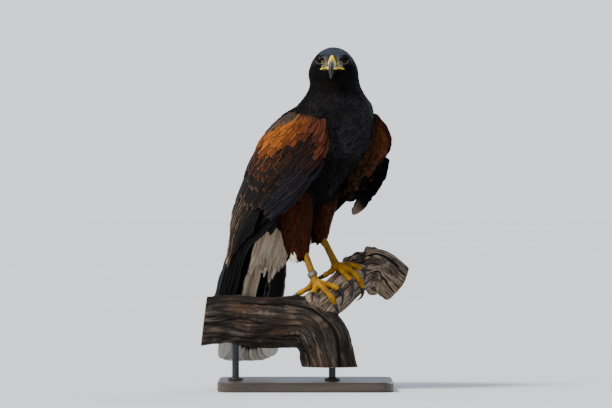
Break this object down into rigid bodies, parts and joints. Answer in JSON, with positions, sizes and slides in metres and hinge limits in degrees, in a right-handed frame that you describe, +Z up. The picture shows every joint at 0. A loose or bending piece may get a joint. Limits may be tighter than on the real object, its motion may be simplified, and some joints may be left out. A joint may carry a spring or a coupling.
{
  "type": "bird of prey model",
  "caption": "Life-size still model of a Harris's hawk with folded wings, gripping a short cut length of driftwood on a plain display stand.",
  "frame": {"origin": "middle of the underside of the stand's base, under the bird's feet", "axes": "+Z up, towards the crown; the head looks along -Y and the body is turned 42 degrees from -Y towards +X"},
  "size_m": [0.298, 0.2331, 0.4899],
  "materials": {
    "dark_plumage": "matt feather vanes",
    "wing_plumage": "matt feather vanes",
    "tail_plumage": "matt feather vanes",
    "rufous_plumage": "matt soft feathers",
    "yellow_skin": "scaled skin",
    "horn": "polished horn",
    "eye": "wet",
    "band_metal": "satin",
    "driftwood": "weathered",
    "stand_board": "satin varnish",
    "stand_steel": "satin black"
  },
  "bodies": {
    "root": {"bill_lower": "horn", "bill_upper": "horn", "cere": "yellow_skin", "claw_left_hind": "horn", "claw_left_inner": "horn", "claw_left_middle": "horn", "claw_left_outer": "horn", "claw_right_hind": "horn", "claw_right_inner": "horn", "claw_right_middle": "horn", "claw_right_outer": "horn", "eye_left": "eye", "eye_right": "eye", "head": "dark_plumage", "leg_band": "band_metal", "leg_left": "yellow_skin", "leg_right": "yellow_skin", "neck": "dark_plumage", "perch": "driftwood", "stand_base": "stand_board", "stand_rod_left": "stand_steel", "stand_rod_right": "stand_steel", "tail": "tail_plumage", "thigh_left": "rufous_plumage", "thigh_right": "rufous_plumage", "torso": "dark_plumage", "wing_left": "wing_plumage", "wing_right": "wing_plumage"}
  },
  "joints": []
}
